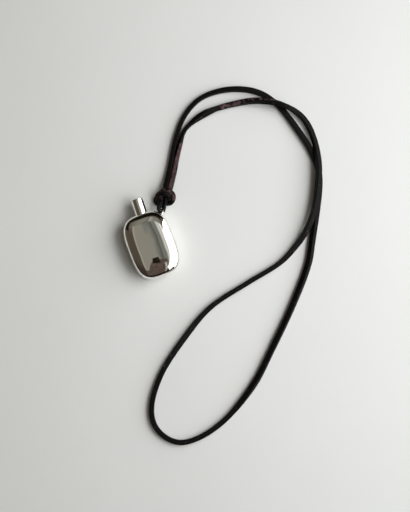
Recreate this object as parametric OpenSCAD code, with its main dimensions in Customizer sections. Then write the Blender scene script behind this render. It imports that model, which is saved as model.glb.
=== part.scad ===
// Bottle pendant on a square leather lace, lying on its back.
// Millimetres. +Y runs along the bottle towards its neck, +X across it and +Z up
// from the surface that it lies on. The origin is under the middle of the bottle's box.

/* [Body] */
// Width of the body
body_w = 28.5; // [26:0.1:32]
// Length of the body, without the neck
body_l = 39.6; // [37:0.1:43]
// Thickness of the body before its back is flattened
body_t = 12.5; // [11:0.1:14]
// Squareness of the outline: 2 is an ellipse, and more is squarer
outline_power = 3.23; // [2.8:0.01:3.8]
// Squareness of the cross-section: 2 is an ellipse, and more is flatter
dome_power = 3.4; // [2.8:0.1:4]
// How much is taken off the back, where the bottle rests
back_flat = 0.1; // [0.05:0.05:0.3]

/* [Neck] */
// Outside diameter of the neck
neck_d = 7.4; // [6:0.1:8]
// From the middle of the body to the neck's end
neck_reach = 28.9; // [26:0.1:32]
// How far the neck's foot stands to the right of the body's axis
neck_side = 0.5; // [0:0.1:1]
// How much the neck leans to the right, in degrees
neck_lean = 3; // [0:0.5:5]
// Radius of the neck's rounded rim
neck_rim = 0.35; // [0.2:0.05:0.6]
// Diameter of the mouth
mouth_d = 5.2; // [4:0.1:5.6]
// Depth of the mouth
mouth_depth = 3; // [1:0.5:6]

/* [Ring] */
// Wire diameter of the ring that is soldered to the shoulder
ring_wire = 1.1; // [0.9:0.1:1.3]
// Diameter of the ring, measured along the middle of its wire
ring_d = 4.6; // [4.4:0.1:5]
// Where the ring's middle is, to the right of the body's axis
ring_x = 11.5; // [11.4:0.1:11.6]
// Where the ring's middle is, from the middle of the body towards the neck
ring_y = 16; // [15.9:0.1:16.1]
// Direction in which the ring points away from the body, in degrees from +X
ring_out = 50; // [48:1:53]
// How far the ring's neck side is tipped down, in degrees
ring_tip = 55; // [53:1:58]

/* [Lace] */
// Thickness of the square lace, measured across its flats
lace = 2.9; // [2.6:0.1:3]
// Longest straight facet along the lace's loop, about three times its thickness
lace_step = 10; // [10:1:14]

/* [Hidden] */
$fn = 48;

// Half sizes of the body, and the height of its middle
bw = body_w / 2;
bl = body_l / 2;
bt = body_t / 2;
mid_z = bt - back_flat;

// The neck's end, its rim included, is as far from the origin as the body's other end
neck_top = (neck_reach - neck_rim) * cos(neck_lean)
         + (neck_d / 2 - neck_rim) * sin(neck_lean) + neck_rim;
mid_y = (bl - neck_top) / 2;

// Body: points around the outline, and the heights of its rings as angles,
// from the equator up to the crown and down to the flat
around = 72;
crown_steps = [0, 7, 15, 23, 31, 40, 49, 58, 67, 75, 82, 87];
flat_angle = asin(pow(1 - back_flat / bt, dome_power / 2));
back_steps = [1, 0.88, 0.76, 0.64, 0.53, 0.42, 0.31, 0.2, 0.1];

// The stubs on the knot reach this far into it, and stop this far short of the strands
stub_len = 4;
cut_gap = 0.1;

// Route of the lace's loop, from the knot and back to it
// columns: x, y, z of the lace's middle
LOOP = [
    [ 20.7,   26.4, 3.2],
    [ 26.1,   34.7, 1.7],
    [ 37.8,   53,   1.5],
    [ 48.7,   64.1, 1.5],
    [ 61.5,   69.5, 1.5],
    [ 78,     68,   1.5],
    [ 93,     60.5, 1.5],
    [102,     48,   1.5],
    [107.5,   30,   1.5],
    [110.5,   12.5, 1.5],
    [108,     -5,   1.5],
    [ 90.5,  -37,   1.5],
    [ 82,    -50.5, 1.5],
    [ 65,    -69,   1.5],
    [ 45.5,  -87.5, 1.5],
    [ 28,   -103,   1.5],
    [  7,   -115.5, 1.5],
    [-12.5, -121,   1.5],
    [-27.5, -119,   1.5],
    [-36,   -107,   1.5],
    [-33.5,  -93,   1.5],
    [-20.5,  -77,   1.5],
    [ -0.5,  -62.5, 1.5],
    [ 20,    -51.5, 1.5],
    [ 45.5,  -46,   1.5],
    [ 67,    -42,   1.5],
    [ 80,    -36,   2.2],
    [ 90,    -29,   4.0],
    [ 98.5,  -19.5, 4.8],
    [105.5,   -7.5, 4.8],
    [111.5,    6.5, 4.8],
    [114.5,   23,   2.6],
    [112.5,   36.5, 2.8],
    [104,     47,   4.8],
    [ 91.5,   54.5, 4.2],
    [ 78,     58.5, 1.6],
    [ 60.5,   59.5, 1.5],
    [ 44.6,   55,   1.5],
    [ 36.1,   44.9, 1.5],
    [ 28.4,   32.3, 1.7],
    [ 23.4,   25,   3.2]
];

// The lace from the knot down through the ring, where it is squeezed, and back up
// into the knot
// columns: x, y, z of the lace's middle, and the lace's thickness there
BIGHT = [
    [12.9,  16.0,  6.6,  2.7],
    [11.85, 14.65, 6.75, 2.2],
    [11.1,  13.2,  6.55, 1.5],
    [12.25, 11.85, 6.0,  1.4],
    [13.45, 11.9,  4.6,  1.9],
    [14.45, 13.2,  3.7,  2.4],
    [15.2,  14.8,  3.7,  2.7]
];

// Outer form of the knot, as the balls that its skin is stretched over
// columns: x, y, z of the ball's middle, and its radius
KNOT = [
    [14.7, 22.4, 4.2, 3.0],
    [12.8, 19.7, 2.9, 2.5],
    [18.8, 22.9, 4.8, 3.1],
    [17.4, 20.6, 5.2, 3.6],
    [21.4, 18.9, 4.3, 2.9],
    [19.1, 16.6, 2.9, 2.5]
];

// Signed power
function spow(v, p) = sign(v) * pow(abs(v), p);

// One ring of the body: its size as a share of the outline, and its height
function layer(s, z) = [for (i = [0:around - 1]) let (t = 360 * i / around)
    [s * bw * spow(cos(t), 2 / outline_power), s * bl * spow(sin(t), 2 / outline_power), z]];
function share(a) = pow(cos(a), 2 / dome_power);
function rise(a) = bt * pow(sin(a), 2 / dome_power);

// A point of a smooth curve through the rows of P, t of the way along span i,
// and never so low that the lace would sink into the surface
function before(P, i) = i > 0 ? P[i - 1] : 2 * P[0] - P[1];
function after(P, i) = i < len(P) ? P[i] : 2 * P[len(P) - 1] - P[len(P) - 2];
function curve(P, i, t) = let (a = before(P, i), b = P[i], c = P[i + 1], d = after(P, i + 2))
    (2 * b + (c - a) * t + (2 * a - 5 * b + 4 * c - d) * t * t
        + (3 * b - a - 3 * c + d) * t * t * t) / 2;
function above(p) = [p[0], p[1], max(p[2], lace / 2)];
function bend(P, i) = acos(min(1, unit(curve(P, i, 0.02) - P[i]) * unit(P[i + 1] - curve(P, i, 0.98))));
function spans(P, i) = max(1, round(norm(P[i + 1] - P[i]) / lace_step), ceil(bend(P, i) / 24));
function route(P) = concat(
    [for (i = [0:len(P) - 2]) for (k = [0:spans(P, i) - 1]) above(curve(P, i, k / spans(P, i)))],
    [above(P[len(P) - 1])]);

// Direction of the route at each of its rings
function unit(v) = v / norm(v);
function ways(Q) = [for (i = [0:len(Q) - 1])
    unit(Q[min(i + 1, len(Q) - 1)] - Q[max(i - 1, 0)])];

// An eight-sided ring of width w across its flats, square to the direction d
function octagon(p, d, w) = let (s = unit(cross([0, 0, 1], d)), u = cross(d, s))
    [for (k = [0:7]) p + w / 2 / cos(22.5) * (cos(22.5 + 45 * k) * s + sin(22.5 + 45 * k) * u)];

// Tube along the rings Q with directions D and widths W
module tube(Q, D, W) {
    n = len(Q);
    polyhedron(
        points = [for (i = [0:n - 1]) each octagon(Q[i], D[i], W[i])],
        faces = concat(
            [[for (k = [0:7]) k]],
            [[for (k = [7:-1:0]) 8 * (n - 1) + k]],
            [for (i = [0:n - 2]) for (k = [0:7]) let (m = (k + 1) % 8)
                [8 * i + k, 8 * i + 8 + k, 8 * i + 8 + m]],
            [for (i = [0:n - 2]) for (k = [0:7]) let (m = (k + 1) % 8)
                [8 * i + k, 8 * i + 8 + m, 8 * i + m]]),
        convexity = 8);
}

// The body is a pillow whose outline and cross-section are both rounded rectangles
module body() {
    layers = concat(
        [for (f = back_steps) layer(share(f * flat_angle), -rise(f * flat_angle))],
        [for (a = crown_steps) layer(share(a), rise(a))]);
    n = len(layers);
    translate([0, mid_y, mid_z])
        polyhedron(
            points = concat([for (l = layers) each l], [[0, 0, bt]]),
            faces = concat(
                [[for (k = [0:around - 1]) k]],
                [for (i = [0:n - 2]) for (k = [0:around - 1]) let (m = (k + 1) % around)
                    [around * i + k, around * i + around + k, around * i + around + m]],
                [for (i = [0:n - 2]) for (k = [0:around - 1]) let (m = (k + 1) % around)
                    [around * i + k, around * i + around + m, around * i + m]],
                [for (k = [0:around - 1]) let (m = (k + 1) % around)
                    [around * (n - 1) + k, around * n, around * (n - 1) + m]]),
            convexity = 2);
}

// Plain round neck with a rounded rim and a shallow mouth
module neck() {
    r = neck_d / 2;
    foot = bl * 0.7;
    translate([neck_side - foot * sin(neck_lean), mid_y, mid_z])
        rotate([-90, 0, -neck_lean])
            difference() {
                union() {
                    translate([0, 0, foot]) cylinder(r = r, h = neck_reach - neck_rim - foot);
                    translate([0, 0, neck_reach - 1]) cylinder(r = r - neck_rim, h = 1);
                    translate([0, 0, neck_reach - neck_rim])
                        rotate_extrude() translate([r - neck_rim, 0]) circle(r = neck_rim);
                }
                translate([0, 0, neck_reach - mouth_depth]) cylinder(d = mouth_d, h = mouth_depth + 1);
            }
}

// Wire ring, tipped down on the side of the neck, with its inner part sunk in the shoulder
module ring() {
    translate([ring_x, mid_y + ring_y, mid_z])
        rotate([0, 0, ring_out]) rotate([-ring_tip, 0, 0])
            rotate_extrude() translate([ring_d / 2, 0]) circle(d = ring_wire);
}

// Silver bottle: body, neck and ring are soldered into one piece
module bottle() color([0.78, 0.77, 0.74]) {
    union() {
        body();
        neck();
        ring();
    }
}

// The bend of the lace through the ring, with its two short legs
module lace_bight() color([0.14, 0.10, 0.09]) {
    B = [for (r = BIGHT) [r[0], r[1], r[2]]];
    tube(B, ways(B), [for (r = BIGHT) r[3]]);
}

// Stub of lace that leaves the knot at the point p in the direction d
module stub(p, d, w) tube([p - stub_len * d, p - cut_gap * d], [d, d], [w, w]);

// Outer form of the knot, with a stub for each strand that enters it
module lace_knot() color([0.16, 0.11, 0.10]) {
    Q = route(LOOP);
    D = ways(Q);
    n = len(Q);
    B = [for (r = BIGHT) [r[0], r[1], r[2]]];
    E = ways(B);
    m = len(B);
    union() {
        hull() for (k = KNOT) translate([k[0], k[1], k[2]]) sphere(r = k[3], $fn = 32);
        stub(Q[0], D[0], lace);
        stub(Q[n - 1], -D[n - 1], lace);
        stub(B[0], E[0], BIGHT[0][3]);
        stub(B[m - 1], -E[m - 1], BIGHT[m - 1][3]);
    }
}

// The whole loop of the lace, from the knot and back to it
module lace_loop() color([0.12, 0.09, 0.08]) {
    Q = route(LOOP);
    tube(Q, ways(Q), [for (q = Q) lace]);
}

bottle();
lace_bight();
lace_knot();
lace_loop();
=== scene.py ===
import math

import bpy
import numpy as np
from mathutils import Matrix, Vector


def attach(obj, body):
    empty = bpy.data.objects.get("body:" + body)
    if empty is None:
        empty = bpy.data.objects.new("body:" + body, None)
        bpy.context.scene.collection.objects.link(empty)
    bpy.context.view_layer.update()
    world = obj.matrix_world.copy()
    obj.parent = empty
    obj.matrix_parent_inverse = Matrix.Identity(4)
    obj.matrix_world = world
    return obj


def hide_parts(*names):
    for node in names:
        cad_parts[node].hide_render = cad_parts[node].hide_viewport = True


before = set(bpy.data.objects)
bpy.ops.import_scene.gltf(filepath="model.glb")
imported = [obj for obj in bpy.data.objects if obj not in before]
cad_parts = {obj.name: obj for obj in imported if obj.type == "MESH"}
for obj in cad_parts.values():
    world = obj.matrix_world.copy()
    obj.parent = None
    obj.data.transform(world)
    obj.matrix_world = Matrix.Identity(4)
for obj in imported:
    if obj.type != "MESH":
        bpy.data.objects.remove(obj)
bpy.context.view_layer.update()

MM = 0.001
scene = bpy.context.scene

# ----------------------------------------------------------------------------
# Sizes, in millimetres, the same as in the part's source
# ----------------------------------------------------------------------------
BODY_W, BODY_L, BODY_T = 28.5, 39.6, 12.5
OUTLINE_POWER, DOME_POWER, BACK_FLAT = 3.23, 3.4, 0.1
NECK_D, NECK_REACH, NECK_SIDE, NECK_LEAN, NECK_RIM = 7.4, 28.9, 0.5, math.radians(3), 0.35
MOUTH_D, MOUTH_DEPTH = 5.2, 3.0
RING_WIRE, RING_D = 1.1, 4.6
RING_AT, RING_OUT, RING_TIP = (11.5, 16.0), math.radians(50), math.radians(-55)
LACE = 3.0

BW, BL, BT = BODY_W / 2, BODY_L / 2, BODY_T / 2
MID_Z = BT - BACK_FLAT
NECK_TOP = ((NECK_REACH - NECK_RIM) * math.cos(NECK_LEAN)
            + (NECK_D / 2 - NECK_RIM) * math.sin(NECK_LEAN) + NECK_RIM)
MID_Y = (BL - NECK_TOP) / 2
MIDDLE = np.array([0.0, MID_Y, MID_Z])

# ----------------------------------------------------------------------------
# Camera: nearly straight down, turned so that the bottle leans to the left
# ----------------------------------------------------------------------------
PHOTO_UP = np.array([0.358, 0.934, 0.0])
PHOTO_UP /= np.linalg.norm(PHOTO_UP)
PHOTO_RIGHT = np.array([PHOTO_UP[1], -PHOTO_UP[0], 0.0])
TILT, FAR, SPAN = math.radians(5.0), 600.0, 246.0
TARGET = np.array([27.463, -21.788, 2.0])


def add_camera():
    back = math.cos(TILT) * np.array([0, 0, 1.0]) - math.sin(TILT) * PHOTO_UP
    up = np.cross(back, PHOTO_RIGHT)
    place = (TARGET + FAR * back) * MM
    data = bpy.data.cameras.new("camera")
    data.sensor_fit = "HORIZONTAL"
    data.sensor_width = 36.0
    data.lens = 36.0 * FAR / SPAN
    data.clip_start, data.clip_end = 0.01, 50.0
    camera = bpy.data.objects.new("camera", data)
    camera.matrix_world = Matrix([
        [PHOTO_RIGHT[0], up[0], back[0], place[0]],
        [PHOTO_RIGHT[1], up[1], back[1], place[1]],
        [PHOTO_RIGHT[2], up[2], back[2], place[2]],
        [0, 0, 0, 1]])
    scene.collection.objects.link(camera)
    scene.camera = camera


add_camera()

# ----------------------------------------------------------------------------
# Helpers for meshes
# ----------------------------------------------------------------------------


def new_mesh(name, points, faces, material, smooth=True):
    """An object from points in millimetres."""
    mesh = bpy.data.meshes.new(name)
    mesh.from_pydata([tuple(p) for p in np.asarray(points) * MM], [], [tuple(int(i) for i in f) for f in faces])
    mesh.validate()
    mesh.polygons.foreach_set("use_smooth", [smooth] * len(mesh.polygons))
    mesh.set_sharp_from_angle(angle=math.radians(62))
    mesh.materials.append(material)
    mesh.update()
    thing = bpy.data.objects.new(name, mesh)
    scene.collection.objects.link(thing)
    return thing


def grid_faces(rows, columns, closed=True, first=0):
    """Quads between rows of points, each row being a ring if closed."""
    out = []
    for i in range(rows - 1):
        for k in range(columns if closed else columns - 1):
            m = (k + 1) % columns
            out.append((first + i * columns + k, first + i * columns + m,
                        first + (i + 1) * columns + m, first + (i + 1) * columns + k))
    return out


def curve_through(points, i, t):
    """A point of a smooth curve through the rows of points, t of the way along span i."""
    n = len(points)
    b, c = points[i], points[i + 1]
    a = points[i - 1] if i > 0 else 2 * b - c
    d = points[i + 2] if i + 2 < n else 2 * c - b
    return 0.5 * (2 * b + (c - a) * t + (2 * a - 5 * b + 4 * c - d) * t * t
                  + (3 * b - a - 3 * c + d) * t ** 3)


def even_line(points, step):
    """The smooth curve through points, with a point about every step."""
    fine = np.array([curve_through(points, i, k / 24) for i in range(len(points) - 1) for k in range(24)]
                    + [points[-1]])
    along = np.r_[0, np.cumsum(np.linalg.norm(np.diff(fine, axis=0), axis=1))]
    at = np.linspace(0, along[-1], int(round(along[-1] / step)) + 1)
    return np.stack([np.interp(at, along, fine[:, k]) for k in range(3)], axis=1), at


def smooth_line(points, rounds):
    """Evens out small kinks, and leaves the two ends."""
    points = points.copy()
    for _ in range(rounds):
        points[1:-1] += 0.25 * (points[:-2] - 2 * points[1:-1] + points[2:])
    return points


# ----------------------------------------------------------------------------
# Helpers for materials
# ----------------------------------------------------------------------------


class Tree:
    """Builds a node tree with short calls."""

    def __init__(self, tree):
        self.tree = tree
        tree.nodes.clear()

    def node(self, kind, inputs=None, **settings):
        n = self.tree.nodes.new(kind)
        for key, value in settings.items():
            setattr(n, key, value)
        for key, value in (inputs or {}).items():
            self.put(n.inputs[key], value)
        return n

    def put(self, socket, value):
        if isinstance(value, bpy.types.NodeSocket):
            self.tree.links.new(value, socket)
        else:
            socket.default_value = value

    def math(self, operation, a, b=0.0, c=0.0, clamp=False):
        n = self.node("ShaderNodeMath", operation=operation, use_clamp=clamp)
        self.put(n.inputs[0], a)
        self.put(n.inputs[1], b)
        if operation in ("MULTIPLY_ADD", "SMOOTH_MIN", "SMOOTH_MAX", "WRAP"):
            self.put(n.inputs[2], c)
        return n.outputs[0]

    def step(self, value, low, high, a=0.0, b=1.0):
        """Smooth step of value from low to high, from a to b."""
        n = self.node("ShaderNodeMapRange", interpolation_type="SMOOTHSTEP")
        self.put(n.inputs["Value"], value)
        n.inputs["From Min"].default_value, n.inputs["From Max"].default_value = low, high
        n.inputs["To Min"].default_value, n.inputs["To Max"].default_value = a, b
        return n.outputs["Result"]

    def line(self, value, low, high, a=0.0, b=1.0):
        n = self.node("ShaderNodeMapRange", clamp=True)
        self.put(n.inputs["Value"], value)
        n.inputs["From Min"].default_value, n.inputs["From Max"].default_value = low, high
        n.inputs["To Min"].default_value, n.inputs["To Max"].default_value = a, b
        return n.outputs["Result"]

    def mix(self, share, a, b, mode="MIX"):
        n = self.node("ShaderNodeMix", data_type="RGBA", blend_type=mode)
        self.put(n.inputs[0], share)
        for socket, value in ((n.inputs[6], a), (n.inputs[7], b)):
            self.put(socket, (*value, 1.0) if isinstance(value, tuple) and len(value) == 3 else value)
        return n.outputs[2]

    def noise(self, vector, scale, detail=3.0, roughness=0.5, distortion=0.0):
        n = self.node("ShaderNodeTexNoise", {"Scale": scale, "Detail": detail, "Roughness": roughness,
                                             "Distortion": distortion})
        self.put(n.inputs["Vector"], vector)
        return n.outputs["Fac"]

    def scaled(self, vector, scale):
        n = self.node("ShaderNodeVectorMath", operation="MULTIPLY")
        self.put(n.inputs[0], vector)
        n.inputs[1].default_value = scale
        return n.outputs[0]

    def bump(self, height, strength, distance, normal=None):
        n = self.node("ShaderNodeBump", {"Height": height, "Strength": strength, "Distance": distance})
        if normal is not None:
            self.put(n.inputs["Normal"], normal)
        return n.outputs["Normal"]


def new_material(name):
    material = bpy.data.materials.new(name)
    material.use_nodes = True
    return material, Tree(material.node_tree)


def silver():
    """Polished silver with a faint haze, fine hand-polishing scratches and a few soft waves."""
    material, t = new_material("polished_silver")
    place = t.node("ShaderNodeTexCoord").outputs["Object"]
    haze = t.noise(place, 260.0, 4.0, 0.6)
    cloud = t.noise(place, 90.0, 3.0, 0.5)
    # scratches: noise stretched along two directions
    fine = t.noise(t.scaled(place, (9000.0, 500.0, 3000.0)), 1.0, 2.0, 0.5)
    cross = t.noise(t.scaled(place, (700.0, 8000.0, 2500.0)), 1.0, 2.0, 0.5)
    scratch = t.math("MAXIMUM", t.step(fine, 0.66, 0.78), t.step(cross, 0.68, 0.80))
    rough = t.math("ADD", t.line(haze, 0.35, 0.75, 0.012, 0.035), t.math("MULTIPLY", scratch, 0.05))
    colour = t.mix(t.line(cloud, 0.3, 0.7), (0.93, 0.92, 0.885), (0.90, 0.885, 0.845))
    waves = t.noise(place, 110.0, 1.0, 0.4)
    normal = t.bump(waves, 0.12, 0.0006)
    normal = t.bump(scratch, 0.04, 0.00002, normal)
    shader = t.node("ShaderNodeBsdfPrincipled", {"Base Color": colour, "Metallic": 1.0, "Roughness": rough,
                                                 "Normal": normal})
    out = t.node("ShaderNodeOutputMaterial")
    t.tree.links.new(shader.outputs[0], out.inputs["Surface"])
    return material


def leather():
    """Square-cut leather. The attribute lace holds the distance along it, the distance round it and how much
    of the rough flesh side looks out, all in millimetres or shares."""
    material, t = new_material("dark_leather")
    run = t.node("ShaderNodeAttribute", attribute_name="lace").outputs["Vector"]
    split = t.node("ShaderNodeSeparateXYZ")
    t.put(split.inputs[0], run)
    place = t.node("ShaderNodeTexCoord").outputs["Object"]
    grain = t.noise(place, 2600.0, 3.0, 0.6)
    cells = t.node("ShaderNodeTexVoronoi", {"Scale": 3200.0}, feature="DISTANCE_TO_EDGE")
    t.put(cells.inputs["Vector"], place)
    cell = t.step(cells.outputs["Distance"], 0.0, 0.18)
    fibre = t.noise(t.scaled(run, (0.9, 7.0, 0.0)), 1.0, 4.0, 0.65, 0.6)
    patch = t.noise(place, 130.0, 3.0, 0.6)
    mottle = t.noise(place, 480.0, 4.0, 0.65, 0.4)
    top = t.mix(t.line(patch, 0.35, 0.7), (0.0016, 0.0014, 0.0013), (0.0036, 0.0031, 0.0028))
    top = t.mix(t.math("MULTIPLY", t.line(grain, 0.5, 0.75), 0.30), top, (0.011, 0.0095, 0.009))
    flesh = t.mix(t.line(mottle, 0.38, 0.66), (0.020, 0.011, 0.011), (0.105, 0.062, 0.064))
    flesh = t.mix(t.math("MULTIPLY", t.line(fibre, 0.45, 0.75), 0.45), flesh, (0.15, 0.095, 0.098))
    seen = t.math("ADD", split.outputs[2], t.line(mottle, 0.32, 0.68, -1.0, 0.0))
    colour = t.mix(t.step(seen, -0.12, 0.12), top, flesh)
    rough_height = t.math("ADD", t.math("MULTIPLY", mottle, 0.8), t.math("MULTIPLY", fibre, 1.2))
    height = t.node("ShaderNodeMix", data_type="FLOAT", inputs=None)
    t.put(height.inputs[0], split.outputs[2])
    t.put(height.inputs[2], t.math("ADD", t.math("MULTIPLY", cell, 0.5), t.math("MULTIPLY", grain, 0.5)))
    t.put(height.inputs[3], rough_height)
    normal = t.bump(height.outputs[0], 0.24, 0.00012)
    rough = t.node("ShaderNodeMix", data_type="FLOAT")
    t.put(rough.inputs[0], split.outputs[2])
    t.put(rough.inputs[2], t.line(patch, 0.3, 0.7, 0.46, 0.58))
    rough.inputs[3].default_value = 0.85
    shader = t.node("ShaderNodeBsdfPrincipled", {"Base Color": colour, "Roughness": rough.outputs[0],
                                                 "Normal": normal})
    shader.inputs["Specular IOR Level"].default_value = 0.10
    out = t.node("ShaderNodeOutputMaterial")
    t.tree.links.new(shader.outputs[0], out.inputs["Surface"])
    return material


SILVER = silver()
LEATHER = leather()

# ----------------------------------------------------------------------------
# Lace: the loop, its route repeated from the part's source
# ----------------------------------------------------------------------------
# columns: x, y, z of the lace's middle in metres
LOOP = [
    (0.0207, 0.0264, 0.0032), (0.0261, 0.0347, 0.0017), (0.0378, 0.0530, 0.0015), (0.0487, 0.0641, 0.0015),
    (0.0615, 0.0695, 0.0015), (0.0780, 0.0680, 0.0015), (0.0930, 0.0605, 0.0015), (0.1020, 0.0480, 0.0015),
    (0.1075, 0.0300, 0.0015), (0.1105, 0.0125, 0.0015), (0.1080, -0.0050, 0.0015), (0.0905, -0.0370, 0.0015),
    (0.0820, -0.0505, 0.0015), (0.0650, -0.0690, 0.0015), (0.0455, -0.0875, 0.0015), (0.0280, -0.1030, 0.0015),
    (0.0070, -0.1155, 0.0015), (-0.0125, -0.1210, 0.0015), (-0.0275, -0.1190, 0.0015), (-0.0360, -0.1070, 0.0015),
    (-0.0335, -0.0930, 0.0015), (-0.0205, -0.0770, 0.0015), (-0.0005, -0.0625, 0.0015), (0.0200, -0.0515, 0.0015),
    (0.0455, -0.0460, 0.0015), (0.0670, -0.0420, 0.0015), (0.0800, -0.0360, 0.0022), (0.0900, -0.0290, 0.0040),
    (0.0985, -0.0195, 0.0048), (0.1055, -0.0075, 0.0048), (0.1115, 0.0065, 0.0048), (0.1145, 0.0230, 0.0026),
    (0.1125, 0.0365, 0.0028), (0.1040, 0.0470, 0.0048), (0.0915, 0.0545, 0.0042), (0.0780, 0.0585, 0.0016),
    (0.0605, 0.0595, 0.0015), (0.0446, 0.0550, 0.0015), (0.0361, 0.0449, 0.0015), (0.0284, 0.0323, 0.0017),
    (0.0234, 0.0250, 0.0032),
]

# How the lace is turned about its own line: at 0 its rough flesh side is below, and at 180 it is on top
# columns: distance along the loop in mm, turn in degrees, size as a share of the lace's, share of rough side seen
TURNS = [
    (0, 8, 0.96, 0.3), (8, 6, 0.88, 0.3), (22, 3, 0.86, 0.3), (45, 0, 0.86, 0.3), (62, 6, 0.92, 0.3),
    (84, 10, 1.0, 0.3), (104, 4, 1.0, 0.3), (130, 4, 1.08, 0.3), (148, 8, 1.05, 0.3), (160, 24, 1.0, 0.3),
    (175, 32, 1.02, 0.3), (198, 48, 1.05, 0.3), (222, 55, 1.08, 0.3), (240, 70, 1.1, 0.3), (280, 75, 1.1, 0.3),
    (294, 62, 1.1, 0.3), (308, 80, 1.08, 0.3), (320, 90, 1.02, 0.3), (360, 92, 0.98, 0.3), (400, 90, 1.0, 0.3),
    (422, 72, 1.02, 0.3), (438, 78, 1.02, 0.3), (455, 88, 1.0, 0.3), (495, 88, 0.98, 0.3), (510, 76, 1.0, 0.3),
    (524, 62, 1.04, 0.3), (560, 57, 1.04, 0.3), (582, 66, 1.0, 0.3), (598, 74, 1.0, 0.3), (612, 108, 1.02, 0.3),
    (626, 150, 1.04, 0.35), (640, 178, 1.08, 0.45), (652, 184, 1.08, 0.35), (656, 200, 1.14, 0.15),
    (661, 226, 1.16, 0.1), (668, 250, 1.0, 0.1), (673, 268, 0.76, 0.1), (679, 262, 0.74, 0.1),
    (684, 236, 0.80, 0.3), (690, 206, 0.86, 0.9), (697, 190, 0.90, 1.0), (712, 180, 1.0, 1.0),
]

# How round the corners of the lace's square section are, as a share of its half width: along the loop, and where it
# is pulled tight in the knot
CORNER, KNOT_CORNER = 0.30, 0.62


def section(corner):
    """The outline of the lace's section, anticlockwise from the middle of its right side, with the side that each
    point is on: 0 right, 1 top, 2 left, 3 bottom."""
    out = []
    for side in range(4):
        a = side * math.pi / 2
        for k in range(5):
            out.append((a, 1.0, (k / 2 - 1) * (0.97 - corner), side))
        for k in range(5):
            b = (k / 4) * math.pi / 2
            x = 1 - corner + corner * math.cos(b)
            y = 1 - corner + corner * math.sin(b)
            out.append((a, x, y, side + k / 4))
    points = np.array([(x * math.cos(a) - y * math.sin(a), x * math.sin(a) + y * math.cos(a)) for a, x, y, _ in out])
    return points, np.array([s for *_, s in out])


SECTION, SIDES = section(CORNER)
KNOT_SECTION = section(KNOT_CORNER)[0]


def directions(line):
    d = np.empty_like(line)
    d[1:-1] = line[2:] - line[:-2]
    d[0], d[-1] = line[1] - line[0], line[-1] - line[-2]
    return d / np.linalg.norm(d, axis=1)[:, None]


def lengths(line):
    return np.r_[0, np.cumsum(np.linalg.norm(np.diff(line, axis=0), axis=1))]


def tube(line, width, height, side_of, up_of, rough_share, start_at=0.0, tight=0.0):
    """A square lace along line: its points, its faces, and for each point the distance along it, the distance round
    it and how much the rough side shows. The four columns of rough_share are the four sides. tight is 1 where the
    lace is pulled round in the knot."""
    n, m = len(line), len(SECTION)
    tight = np.broadcast_to(np.asarray(tight, float), (n,))[:, None, None]
    shape = SECTION[None] * (1 - tight) + KNOT_SECTION[None] * tight
    points = (line[:, None] + side_of[:, None] * (shape[:, :, 0:1] * width[:, None, None] / 2)
              + up_of[:, None] * (shape[:, :, 1:2] * height[:, None, None] / 2)).reshape(-1, 3)
    points = np.concatenate([points, line[:1], line[-1:]])
    points[:, 2] = np.maximum(points[:, 2], 0.01)
    faces = grid_faces(n, m)
    faces += [(n * m, (k + 1) % m, k) for k in range(m)]
    faces += [(n * m + 1, (n - 1) * m + k, (n - 1) * m + (k + 1) % m) for k in range(m)]
    along = lengths(line) + start_at
    around = lengths(SECTION) * LACE / 2
    low = np.floor(SIDES).astype(int) % 4
    f = SIDES - np.floor(SIDES)
    share = rough_share[:, low] * (1 - f) + rough_share[:, (low + 1) % 4] * f
    values = np.stack([np.repeat(along[:, None], m, 1), np.repeat(around[None], n, 0), share], axis=2).reshape(-1, 3)
    return points, faces, np.concatenate([values, values[:1], values[-1:]])


def lace_piece(name, tubes, node):
    points, faces, values = [], [], []
    for p, f, v in tubes:
        first = sum(len(q) for q in points)
        points.append(p)
        values.append(v)
        faces += [tuple(first + i for i in g) for g in f]
    thing = new_mesh(name, np.concatenate(points), faces, LEATHER)
    attribute = thing.data.attributes.new("lace", "FLOAT_VECTOR", "POINT")
    attribute.data.foreach_set("vector", np.concatenate(values).astype(np.float32).ravel())
    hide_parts(node)
    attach(thing, "root")
    return thing


def turned(side, up, angle):
    c, s = np.cos(angle)[:, None], np.sin(angle)[:, None]
    return c * side + s * up, c * up - s * side


def lace_loop():
    """The loop's mesh, its middle line, and its side and up directions along that line."""
    line, along = even_line(np.array(LOOP) * 1000, 0.8)
    turns = np.array(TURNS, float)
    turn, size, rough = (np.interp(along, turns[:, 0], turns[:, k]) for k in (1, 2, 3))
    turn = np.radians(smooth_line(turn[:, None], 20)[:, 0])
    size = LACE * smooth_line(size[:, None], 12)[:, 0]
    # a turned section stands on its edge, so its middle rises to keep it on the surface
    reach = size / 2 * (CORNER + (1 - CORNER) * (np.abs(np.cos(turn)) + np.abs(np.sin(turn))))
    line[:, 2] += np.maximum(reach - LACE / 2, 0)
    line[:, 2] = np.maximum(line[:, 2], reach + 0.01)
    line = smooth_line(line, 6)
    t = directions(line)
    right = np.cross(t, np.array([0, 0, 1.0]))
    right /= np.linalg.norm(right, axis=1)[:, None]
    side, up = turned(right, np.cross(right, t), turn)
    share = np.zeros((len(line), 4))
    share[:, 3] = rough
    share[:, 0] = share[:, 2] = 0.12 * rough
    thing = lace_piece("lace_loop_leather", [tube(line, size, size, side, up, share)], "lace_loop")
    return thing, line, side, up


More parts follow.
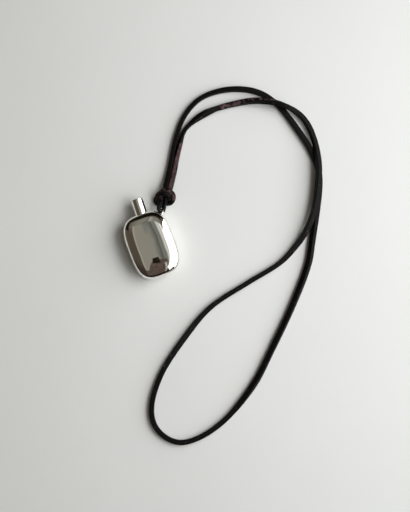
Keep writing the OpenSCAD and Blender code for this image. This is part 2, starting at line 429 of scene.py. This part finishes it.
# ----------------------------------------------------------------------------
# Knot: both strands go round once and through, side by side, just above the ring
# ----------------------------------------------------------------------------
# The strand from the loop's start, which ends in the leg behind the ring's wire
# columns: x, y, z of its middle in millimetres
OUTER = [
    (20.7, 26.4, 3.2), (19.3, 24.8, 3.4), (16.4, 23.5, 3.6), (13.4, 22.0, 3.2), (11.6, 20.3, 2.3), (11.5, 18.5, 1.7),
    (14.4, 18.6, 1.6), (17.1, 17.4, 1.6), (19.0, 15.5, 2.0), (21.3, 16.3, 3.2), (22.8, 18.2, 5.0), (22.3, 20.7, 6.2),
    (20.2, 22.5, 6.6), (17.9, 23.7, 5.0), (17.0, 23.6, 2.2), (17.6, 22.0, 1.9), (17.9, 19.5, 4.4), (16.8, 17.2, 5.0),
    (15.0, 14.9, 3.7),
]
# The strand from the loop's end, which ends in the leg before the ring's wire
# columns: x, y, z of its middle in millimetres
INNER = [
    (23.4, 25.0, 3.2), (22.0, 23.5, 3.5), (19.3, 22.2, 4.4), (15.9, 21.7, 5.4), (13.8, 20.5, 4.8), (14.1, 19.4, 3.0),
    (16.5, 19.2, 1.7), (18.6, 18.1, 2.6), (20.2, 18.2, 4.9), (20.1, 19.9, 6.8), (18.3, 21.3, 7.4), (15.9, 22.2, 6.2),
    (14.4, 22.3, 3.9), (14.5, 21.2, 1.8), (15.0, 19.9, 2.4), (14.0, 18.2, 5.0), (12.9, 16.0, 6.6),
]
# Through the ring, from the leg before its wire to the leg behind it
# columns: x, y, z of the middle, then the lace's width and its thickness there, in millimetres
BIGHT = [
    (12.9, 16.0, 6.6, 2.6, 2.5), (11.85, 14.65, 6.75, 2.2, 2.0), (11.1, 13.2, 6.55, 1.5, 1.35),
    (12.25, 11.85, 6.0, 1.4, 1.2), (13.4, 11.95, 4.6, 1.9, 1.6), (14.3, 13.25, 3.65, 2.4, 2.2),
    (15.0, 14.9, 3.7, 2.6, 2.5),
]
# How far the strands' middles reach, seen from above
# columns: x, y of the corners in millimetres, clockwise
REACH = [
    (18.9, 23.9), (20.9, 23.0), (22.4, 21.2), (22.9, 19.1), (22.2, 17.2), (20.7, 15.8), (19.0, 14.8), (11.1, 18.2),
    (11.3, 19.4), (12.4, 21.0), (14.2, 22.5), (16.6, 23.4),
]
KNOT_LACE, KNOT_APART = 2.6, 2.3


def even(points, count):
    at = lengths(points)
    return np.stack([np.interp(np.linspace(0, at[-1], count), at, points[:, k]) for k in range(3)], axis=1)


def tighten(strands, leads, apart, rounds):
    """Moves the strands' points until they are about apart, each near where it was laid. leads are the unit
    directions in which the strands leave the knot, at their starts and at their ends."""
    n = len(strands[0])
    points = np.concatenate(strands)
    home = points.copy()
    i, k = np.triu_indices(2 * n, 1)
    edge = np.array(REACH)
    middle = edge.mean(axis=0)
    free = np.concatenate([np.arange(a + 4, a + n - 9) for a in (0, n)])
    for turn in range(rounds):
        for a in (0, n):
            if turn % 5 == 0:
                points[a:a + n] = even(points[a:a + n], n)
            strand = points[a:a + n]
            strand[1:-1] += 0.03 * (strand[:-2] - 2 * strand[1:-1] + strand[2:])
            strand[2:-2] -= 0.06 * (strand[:-4] - 4 * strand[1:-3] + 6 * strand[2:-2] - 4 * strand[3:-1] + strand[4:])
        if turn % 5 == 0:
            step = [lengths(points[a:a + n])[-1] / (n - 1) for a in (0, n)]
            skip = int(math.ceil(1.45 * apart / min(step)))
            use = ~((i // n == k // n) & (k - i < skip))
            first, second = i[use], k[use]
        for s, a in enumerate((0, n)):
            for q in (1, 2):
                points[a + q] = points[a] + leads[0][s] * step[s] * q
                points[a + n - 1 - q] = points[a + n - 1] + leads[1][s] * step[s] * q
        for _ in range(3):
            gap = points[second] - points[first]
            far = np.sqrt((gap * gap).sum(axis=1))
            near = far < apart
            move = (0.25 * (apart - far[near]) / (far[near] + 1e-9))[:, None] * gap[near]
            push, hits = np.zeros_like(points), np.ones(2 * n)
            np.add.at(push, first[near], -move)
            np.add.at(push, second[near], move)
            np.add.at(hits, first[near], 1)
            np.add.at(hits, second[near], 1)
            push /= np.sqrt(hits)[:, None]
            push[[0, n - 1, n, 2 * n - 1]] = 0
            points += push
        for a, b in zip(edge, np.roll(edge, -1, axis=0)):
            out = np.array([b[1] - a[1], a[0] - b[0]]) / np.hypot(*(b - a))
            out = out if (middle - a) @ out > 0 else -out
            over = np.minimum((points[free, :2] - a) @ out, 0)
            points[free, :2] -= 0.5 * over[:, None] * out
        points[:, 2] = np.clip(points[:, 2], 1.42, 7.6)
        points += 0.06 * (home - points)
    return points[:n], points[n:]


def carried(line, first):
    """The direction first, taken along the line without twisting it."""
    t = directions(line)
    out = [first]
    for d in t:
        v = out[-1] - (out[-1] @ d) * d
        out.append(v / np.linalg.norm(v))
    return np.array(out[1:])


def angle_between(a, b, about):
    return math.atan2(np.cross(a, b) @ about, a @ b)


def knot_and_bight(loop_line, side, up):
    def unit(v):
        return np.array(v) / np.linalg.norm(v)

    bight = np.array(BIGHT)
    through = even_line(bight[:, :3], 0.25)[0]
    starts = [unit(loop_line[0] - loop_line[2]), unit(loop_line[-1] - loop_line[-3])]
    ends = [unit(bight[-1, :3] - bight[-2, :3]), unit(bight[0, :3] - bight[1, :3])]
    tops = (loop_line[0], loop_line[-1])
    strands = []
    for table, top in zip((OUTER, INNER), tops):
        points = np.array(table)
        points[0] = top
        strands.append(even(even_line(points, 0.25)[0], 72))
    strands = tighten(strands, (starts, ends), KNOT_APART, 150)
    outer, inner = (even_line(s, 0.3)[0] for s in strands)
    outer, inner = smooth_line(outer, 3), smooth_line(inner, 3)
    # one line from the loop's start through the knot, the ring and the knot again to the loop's end
    line = np.concatenate([outer, through[::-1][1:-1], inner[::-1]])
    a, b = len(outer), len(outer) + len(through) - 2
    line[a - 6:b + 6] = smooth_line(line[a - 6:b + 6], 6)
    t = directions(line)
    along = lengths(line)
    s = carried(line, -side[0])
    # in the ring the lace's thin way points out from the body
    hole = a + (b - a) // 2
    outward = np.array([0.64, 0.77, 0.0])
    flat = np.cross(outward - (outward @ t[hole]) * t[hole], t[hole])
    twist_1 = angle_between(s[hole], flat, t[hole])
    twist_1 = (twist_1 + math.pi / 2) % math.pi - math.pi / 2
    twist = twist_1 * np.interp(along, [0, along[a - 12], along[hole]], [0, 0.8, 1])
    last = -side[-1]
    up0 = np.cross(s, t)
    now = np.cos(twist[-1]) * s[-1] + np.sin(twist[-1]) * up0[-1]
    twist_2 = -angle_between(now, last, t[-1])
    twist = twist + twist_2 * np.interp(along, [along[hole], along[b + 12], along[-1]], [0, 0.2, 1])
    side_of = np.cos(twist)[:, None] * s + np.sin(twist)[:, None] * up0
    up_of = np.cross(side_of, t)
    ring = along[a:b][np.linspace(0, b - a - 1, len(bight)).astype(int)]
    at = [0, along[8], along[28], along[a - 10], *ring, along[b + 10], along[-28], along[-8], along[-1]]
    first, final = LACE * TURNS[0][2], LACE * TURNS[-1][2]
    width, height = (np.interp(along, at, [first, 0.96 * LACE, KNOT_LACE, KNOT_LACE, *bight[::-1, k],
                                           KNOT_LACE, KNOT_LACE, 0.98 * LACE, final]) for k in (3, 4))
    tight = np.interp(along, [0, along[8], along[28], along[-28], along[-8], along[-1]], [0, 0.1, 1, 1, 0.1, 0])
    # the strand from the loop's end goes in with its rough side up; the one from its start turns that side up on
    # the knot's right
    share = np.zeros((len(line), 4))
    share[:, 3] = np.interp(along, [0, along[-60], along[-20], along[-1]], [0.2, 0.15, 0.9, 1.0])
    near = along / along[a]
    share[:, 1] = np.interp(near, [0.46, 0.54, 0.66, 0.72], [0, 0.7, 1.0, 0])
    share[:, 0] = share[:, 2] = 0.12 * share[:, 3]
    tubes = []
    for i0, i1 in ((0, a + 1), (a, b + 1), (b, len(line))):
        tubes.append(tube(line[i0:i1], width[i0:i1], height[i0:i1], side_of[i0:i1], up_of[i0:i1], share[i0:i1],
                          720 + along[i0], tight[i0:i1]))
    knot = lace_piece("lace_knot_leather", [tubes[0], tubes[2]], "lace_knot")
    bend = lace_piece("lace_bight_leather", [tubes[1]], "lace_bight")
    return knot, bend


loop, loop_line, loop_side, loop_up = lace_loop()
knot, bend = knot_and_bight(loop_line, loop_side, loop_up)

# ----------------------------------------------------------------------------
# Bottle
# ----------------------------------------------------------------------------


def signed_power(v, p):
    return np.sign(v) * np.abs(v) ** p


def bottle():
    around = 288
    t = np.linspace(0, 2 * np.pi, around, endpoint=False)
    outline = np.stack([BW * signed_power(np.cos(t), 2 / OUTLINE_POWER), BL * signed_power(np.sin(t), 2 / OUTLINE_POWER)], 1)
    flat = math.asin((1 - BACK_FLAT / BT) ** (DOME_POWER / 2))
    lat = np.concatenate([-flat * np.linspace(1, 0, 56)[:-1], np.linspace(0, math.radians(89.7), 90)])
    share = np.cos(lat) ** (2 / DOME_POWER)
    rise = BT * signed_power(np.sin(lat), 2 / DOME_POWER)
    points = np.concatenate([np.concatenate([outline * s, np.full((around, 1), z)], 1) for s, z in zip(share, rise)])
    n = len(lat)
    points = np.concatenate([points, [[0, 0, BT]], [[0, 0, rise[0]]]]) + MIDDLE
    faces = grid_faces(n, around)
    faces += [((n - 1) * around + k, (n - 1) * around + (k + 1) % around, n * around) for k in range(around)]
    faces += [((k + 1) % around, k, n * around + 1) for k in range(around)]
    parts = [(points, faces)]

    # neck: a profile turned about its axis
    axis = np.array([math.sin(NECK_LEAN), math.cos(NECK_LEAN), 0])
    across = np.array([math.cos(NECK_LEAN), -math.sin(NECK_LEAN), 0])
    foot = BL * 0.7
    base = MIDDLE + np.array([NECK_SIDE - foot * math.sin(NECK_LEAN), 0, 0])
    r, rim, inner = NECK_D / 2, NECK_RIM, MOUTH_D / 2
    lip = 0.22
    profile = [(0.0, foot), (r, foot)] + [(r, h) for h in np.linspace(foot + 1, NECK_REACH - rim, 12)]
    profile += [(r - rim + rim * math.cos(a), NECK_REACH - rim + rim * math.sin(a)) for a in np.linspace(0.2, math.pi / 2, 7)]
    profile += [(inner + lip - lip * math.sin(a), NECK_REACH - lip + lip * math.cos(a)) for a in np.linspace(0.1, math.pi / 2, 6)]
    profile += [(inner, h) for h in np.linspace(NECK_REACH - lip - 0.2, NECK_REACH - MOUTH_DEPTH + 0.3, 5)]
    profile += [(inner - 0.1, NECK_REACH - MOUTH_DEPTH + 0.1), (inner - 0.35, NECK_REACH - MOUTH_DEPTH), (0.0, NECK_REACH - MOUTH_DEPTH)]
    count = 96
    b = np.linspace(0, 2 * np.pi, count, endpoint=False)
    rows = []
    for pr, ph in profile:
        rows.append(base + ph * axis + pr * (np.cos(b)[:, None] * across + np.sin(b)[:, None] * np.array([0, 0, 1.0])))
    neck_points = np.concatenate(rows)
    neck_faces = [tuple(reversed(f)) for f in grid_faces(len(profile), count)]
    parts.append((neck_points, neck_faces))

    # ring
    a, tip = RING_OUT, RING_TIP
    turn = np.array([[math.cos(a), -math.sin(a), 0], [math.sin(a), math.cos(a), 0], [0, 0, 1]]) @ np.array(
        [[1, 0, 0], [0, math.cos(tip), -math.sin(tip)], [0, math.sin(tip), math.cos(tip)]])
    middle = MIDDLE + np.array([RING_AT[0], RING_AT[1], 0])
    c1, c2 = 96, 32
    u = np.linspace(0, 2 * np.pi, c1, endpoint=False)
    v = np.linspace(0, 2 * np.pi, c2, endpoint=False)
    rr = RING_D / 2 + RING_WIRE / 2 * np.cos(v)
    ring = np.stack([np.outer(np.cos(u), rr), np.outer(np.sin(u), rr), np.repeat((RING_WIRE / 2 * np.sin(v))[None], c1, 0)], 2)
    ring_points = ring.reshape(-1, 3) @ turn.T + middle
    ring_faces = [(i * c2 + k, ((i + 1) % c1) * c2 + k, ((i + 1) % c1) * c2 + (k + 1) % c2, i * c2 + (k + 1) % c2)
                  for i in range(c1) for k in range(c2)]
    parts.append((ring_points, ring_faces))

    points, faces = [], []
    for p, f in parts:
        first = sum(len(q) for q in points)
        points.append(p)
        faces += [tuple(first + i for i in g) for g in f]
    thing = new_mesh("silver_bottle", np.concatenate(points), faces, SILVER)
    bpy.context.view_layer.update()
    return thing


silver_bottle = bottle()
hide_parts("bottle")
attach(silver_bottle, "root")

# ----------------------------------------------------------------------------
# Floor, window light and surroundings
# ----------------------------------------------------------------------------


def floor():
    material, t = new_material("pale_table")
    place = t.node("ShaderNodeTexCoord").outputs["Object"]
    soft = t.noise(place, 9.0, 3.0, 0.5)
    fine = t.noise(place, 900.0, 2.0, 0.5)
    colour = t.mix(t.line(soft, 0.3, 0.7), (0.774, 0.791, 0.777), (0.798, 0.811, 0.800))
    shader = t.node("ShaderNodeBsdfPrincipled", {"Base Color": colour, "Roughness": 0.6,
                                                 "Normal": t.bump(fine, 0.05, 0.0001)})
    shader.inputs["Specular IOR Level"].default_value = 0.3
    out = t.node("ShaderNodeOutputMaterial")
    t.tree.links.new(shader.outputs[0], out.inputs["Surface"])
    mesh = bpy.data.meshes.new("table")
    s = 6.0
    mesh.from_pydata([(-s, -s, 0), (s, -s, 0), (s, s, 0), (-s, s, 0)], [], [(0, 1, 2, 3)])
    mesh.materials.append(material)
    thing = bpy.data.objects.new("table", mesh)
    scene.collection.objects.link(thing)


# How far the window is to the right, in millimetres
AWAY = 400.0


def window(name, left, right, low, high, power):
    """Part of a wide soft window on the right, with its ends and its height above the floor in millimetres."""
    data = bpy.data.lights.new(name, "AREA")
    data.shape = "RECTANGLE"
    data.size, data.size_y = (right - left) * MM, (high - low) * MM
    data.energy = power
    data.color = (1.0, 1.0, 1.0)
    lamp = bpy.data.objects.new(name, data)
    z = PHOTO_RIGHT
    y = np.array([0, 0, 1.0])
    x = np.cross(y, z)
    at = (AWAY * PHOTO_RIGHT + (left + right) / 2 * PHOTO_UP + np.array([0, 0, (low + high) / 2])) * MM
    lamp.matrix_world = Matrix([[x[0], y[0], z[0], at[0]], [x[1], y[1], z[1], at[1]], [x[2], y[2], z[2], at[2]], [0, 0, 0, 1]])
    lamp.visible_camera = False
    scene.collection.objects.link(lamp)


def surroundings():
    """What the silver mirrors: a warm grey panel overhead with a light edge and a light line, a brown wall on the
    left, dark ends, and a small dark card below the middle."""
    world = bpy.data.worlds.new("studio")
    world.use_nodes = True
    scene.world = world
    t = Tree(world.node_tree)
    way = t.node("ShaderNodeTexCoord").outputs["Generated"]

    def along(axis):
        n = t.node("ShaderNodeVectorMath", operation="DOT_PRODUCT")
        t.put(n.inputs[0], way)
        n.inputs[1].default_value = tuple(axis)
        return n.outputs["Value"]

    x, y, z = along(PHOTO_RIGHT), along(PHOTO_UP), along((0, 0, 1))
    above = t.math("MAXIMUM", z, 0.03)
    px, py = t.math("DIVIDE", x, above), t.math("DIVIDE", y, above)

    def plus(a, b, share):
        return t.math("ADD", a, t.math("MULTIPLY", b, share))

    def between(value, low, high, soft):
        return t.math("MULTIPLY", t.step(value, low - soft, low + soft), t.step(value, high - soft, high + soft, 1.0, 0.0))

    def area(*masks):
        out = masks[0]
        for m in masks[1:]:
            out = t.math("MULTIPLY", out, m)
        return out

    def ramp(value, stops):
        n = t.node("ShaderNodeValToRGB")
        low, high = stops[0][0], stops[-1][0]
        t.put(n.inputs["Fac"], t.line(value, low, high))
        elements = n.color_ramp.elements
        while len(elements) < len(stops):
            elements.new(0.5)
        for e, (at, colour) in zip(elements, stops):
            e.position = (at - low) / (high - low)
            e.color = (*colour, 1.0)
        return n.outputs["Color"]

    # walls: brown on the left, darker below, and nearly black at the far ends
    wall = t.mix(t.step(y, -0.1, -0.45), (0.080, 0.065, 0.048), (0.042, 0.033, 0.026))
    wall = t.mix(area(t.step(z, 0.5, 0.15), between(y, -0.3, 0.3, 0.15)), wall, (0.15, 0.115, 0.10))
    wall = t.mix(t.step(plus(y, x, 0.2), 0.0, 0.25), wall, (0.13, 0.108, 0.093))
    wall = t.mix(area(t.step(y, -0.5, -0.72), t.step(x, -0.45, -0.25)), wall, (0.012, 0.008, 0.007))
    arc = area(t.step(z, 0.78, 0.69), t.step(plus(y, x, 0.27), -0.04, 0.04),
               t.math("MAXIMUM", t.step(z, 0.16, 0.26), t.step(x, -0.25, -0.1)))
    wall = t.mix(arc, wall, (0.0065, 0.006, 0.003))
    beside = t.mix(t.step(z, 0.05, 0.35), (0.62, 0.62, 0.60), (0.16, 0.15, 0.135))
    beside = t.mix(t.step(y, 0.15, -0.25), beside, (0.085, 0.08, 0.07))
    wall = t.mix(area(t.step(x, 0.35, 0.6), between(y, -0.85, 0.68, 0.06)), wall, beside)
    # overhead panel: its tone runs from the light edge on the left to the light line beside the window
    slant = plus(px, py, 0.17)
    cross = plus(px, py, 0.43)
    tone = ramp(cross, [
        (-0.06, (0.254, 0.238, 0.197)), (-0.015, (0.248, 0.238, 0.200)), (0.004, (0.175, 0.172, 0.150)),
        (0.020, (0.150, 0.150, 0.134)), (0.046, (0.098, 0.101, 0.088)), (0.068, (0.125, 0.126, 0.112)),
        (0.095, (0.200, 0.203, 0.183)), (0.150, (0.145, 0.150, 0.132)), (0.200, (0.350, 0.350, 0.325)),
        (0.245, (0.700, 0.690, 0.640)), (0.305, (0.450, 0.445, 0.415)), (0.370, (0.740, 0.735, 0.710)),
        (0.430, (0.90, 0.90, 0.88))])
    edge = between(slant, -0.345, -0.275, 0.02)
    tone = t.mix(edge, tone, (0.335, 0.305, 0.262))
    far_tone = ramp(px, [
        (-0.85, (0.095, 0.085, 0.068)), (-0.50, (0.145, 0.135, 0.110)), (-0.30, (0.200, 0.185, 0.155)),
        (-0.20, (0.215, 0.205, 0.168)), (-0.185, (0.110, 0.108, 0.085)), (-0.165, (0.110, 0.108, 0.085)),
        (-0.145, (0.360, 0.355, 0.310)), (-0.09, (0.320, 0.315, 0.280)), (-0.03, (0.235, 0.232, 0.200)),
        (0.06, (0.190, 0.188, 0.160)), (0.30, (0.205, 0.200, 0.175))])
    far = t.step(py, 0.38, 0.46)
    tone = t.mix(far, tone, far_tone)
    left_end = t.step(plus(slant, far, 0.5), -0.385, -0.355)
    raised = area(t.step(px, -0.13, -0.02), t.step(plus(px, py, 0.3), 0.19, 0.14))
    lower_end = t.step(plus(py, raised, -0.39), -0.46, -0.42)
    panel = area(left_end, lower_end, t.step(plus(py, px, 0.3), 0.86, 0.68), t.step(px, 0.34, 0.31))
    # below the panel: brown with a few small bright spots
    spots = t.noise(way, 34.0, 2.0, 0.6)
    lower = t.mix(t.step(spots, 0.40, 0.66), (0.070, 0.052, 0.041), (0.125, 0.093, 0.078))
    gleam = area(between(plus(px, py, 0.36), 0.055, 0.115, 0.02), t.step(py, -0.13, -0.19), t.step(z, 0.25, 0.4))
    lower = t.mix(area(gleam, t.step(spots, 0.36, 0.58)), lower, (0.62, 0.60, 0.54))
    brown = area(t.step(py, -0.02, -0.06), t.step(z, 0.42, 0.62), t.step(x, -0.34, -0.22), t.step(plus(px, py, 0.3), 0.19, 0.15))
    colour = t.mix(brown, wall, lower)
    colour = t.mix(panel, colour, tone)
    # dark card
    card = area(t.step(cross, -0.012, -0.018), t.step(py, 0.010, 0.0), t.step(plus(py, px, 0.615), -0.112, -0.100),
                t.step(plus(px, py, 0.215), -0.044, -0.036), t.step(px, 0.088, 0.078))
    colour = t.mix(card, colour, t.mix(t.step(px, 0.03, 0.08), (0.013, 0.010, 0.007), (0.050, 0.046, 0.038)))
    low = t.step(z, -0.02, 0.0)
    colour = t.mix(low, (0.55, 0.55, 0.54), colour)
    lit = t.node("ShaderNodeBackground", {"Color": colour, "Strength": 1.0})
    plain = t.node("ShaderNodeBackground", {"Color": (0.72, 0.735, 0.72, 1.0), "Strength": 1.0})
    seen = t.node("ShaderNodeLightPath").outputs["Is Camera Ray"]
    mix = t.node("ShaderNodeMixShader")
    t.put(mix.inputs[0], seen)
    t.tree.links.new(lit.outputs[0], mix.inputs[1])
    t.tree.links.new(plain.outputs[0], mix.inputs[2])
    out = t.node("ShaderNodeOutputWorld")
    t.tree.links.new(mix.outputs[0], out.inputs["Surface"])


floor()
window("window_low", -340.0, 400.0, 70.0, 343.0, 1.84)
window("window_middle", -200.0, 400.0, 343.0, 709.0, 4.2)
window("window_side", -700.0, -200.0, 343.0, 709.0, 0.64)
window("window_high", -700.0, 400.0, 709.0, 1380.0, 2.46)
surroundings()
scene.view_settings.view_transform = "Standard"
scene.view_settings.look = "None"
scene.view_settings.exposure = 0.0
scene.view_settings.gamma = 1.0
